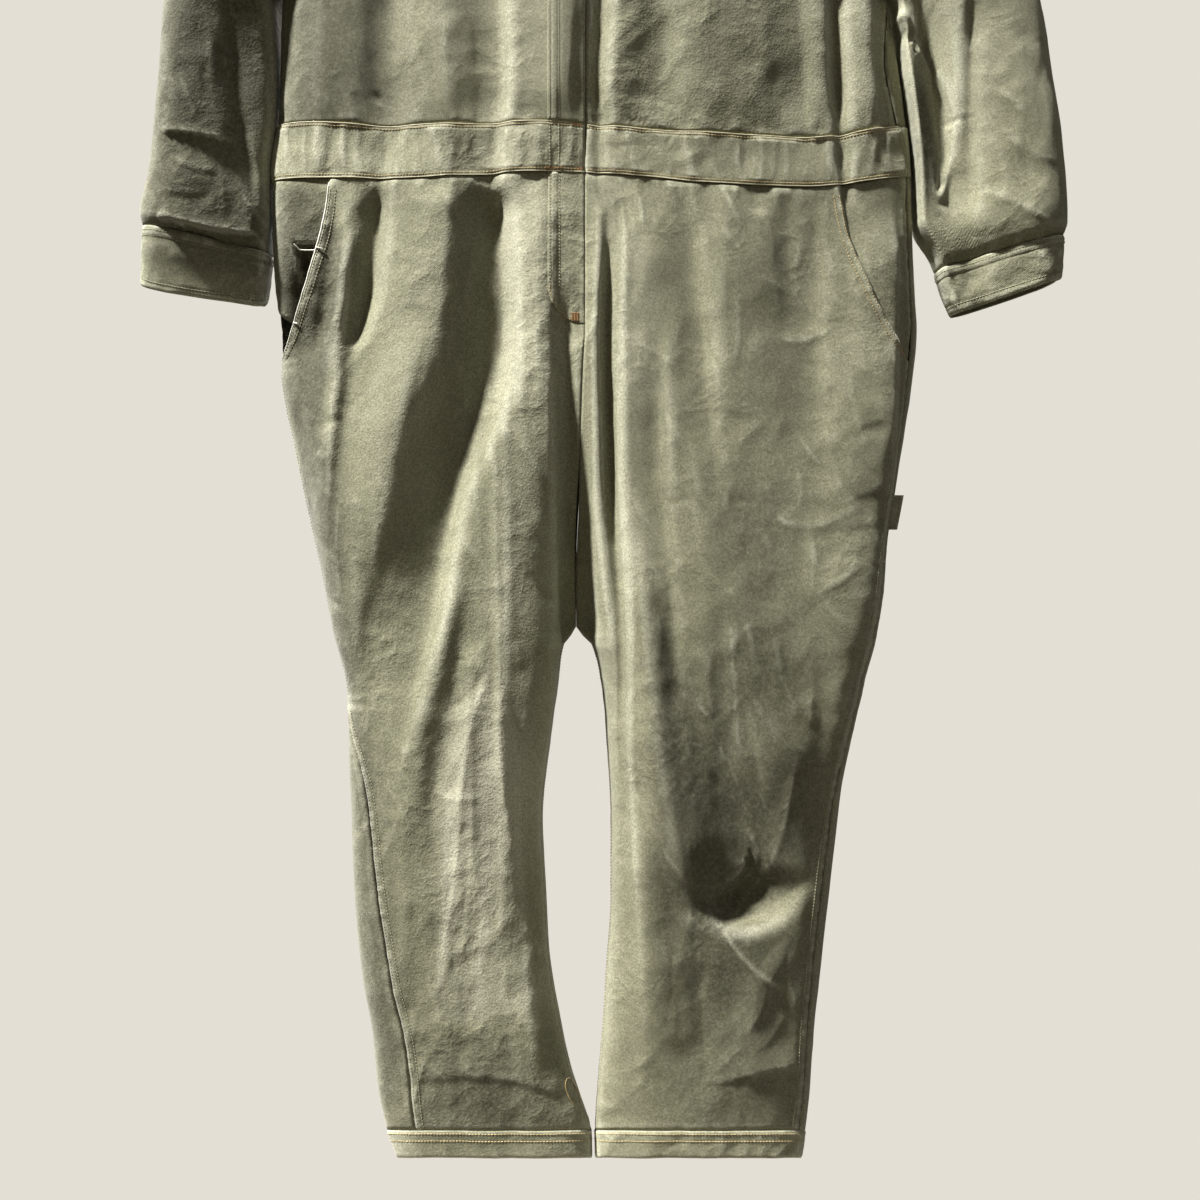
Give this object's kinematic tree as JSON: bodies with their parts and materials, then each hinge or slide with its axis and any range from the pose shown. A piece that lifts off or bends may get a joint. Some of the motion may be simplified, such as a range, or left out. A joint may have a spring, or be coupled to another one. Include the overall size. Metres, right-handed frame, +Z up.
{
  "type": "boiler suit on a hanger",
  "caption": "Long-sleeved olive cotton twill boiler suit with collar, covered front placket, waistband and slant pockets, hung by its hanger's hook.",
  "frame": {"origin": "where the rail carries the hanger's hook, at the top of the hook's inside", "axes": "+Z up, the garment hangs down from the origin; the front faces -Y; +X is the viewer's right, facing the front"},
  "size_m": [0.9568, 0.118, 1.6099],
  "materials": {
    "twill": "washed cotton twill, matt, olive green",
    "bands": "washed cotton twill, doubled, matt, olive green",
    "hanger": "moulded, satin, dark"
  },
  "bodies": {
    "root": {"bodice_back": "twill", "bodice_front_left": "twill", "bodice_front_right": "twill", "bodice_placket": "twill", "collar_fall": "twill", "collar_stand": "twill", "cuff_left": "bands", "cuff_right": "bands", "fly_placket": "twill", "hammer_loop": "twill", "hanger": "hanger", "hem_band_left": "bands", "hem_band_right": "bands", "leg_back_left": "twill", "leg_back_right": "twill", "leg_front_left": "twill", "leg_front_right": "twill", "pocket_facing_left": "twill", "pocket_facing_right": "twill", "sleeve_left": "twill", "sleeve_right": "twill", "waistband_back": "bands", "waistband_front_left": "bands", "waistband_front_right": "bands"}
  },
  "joints": []
}
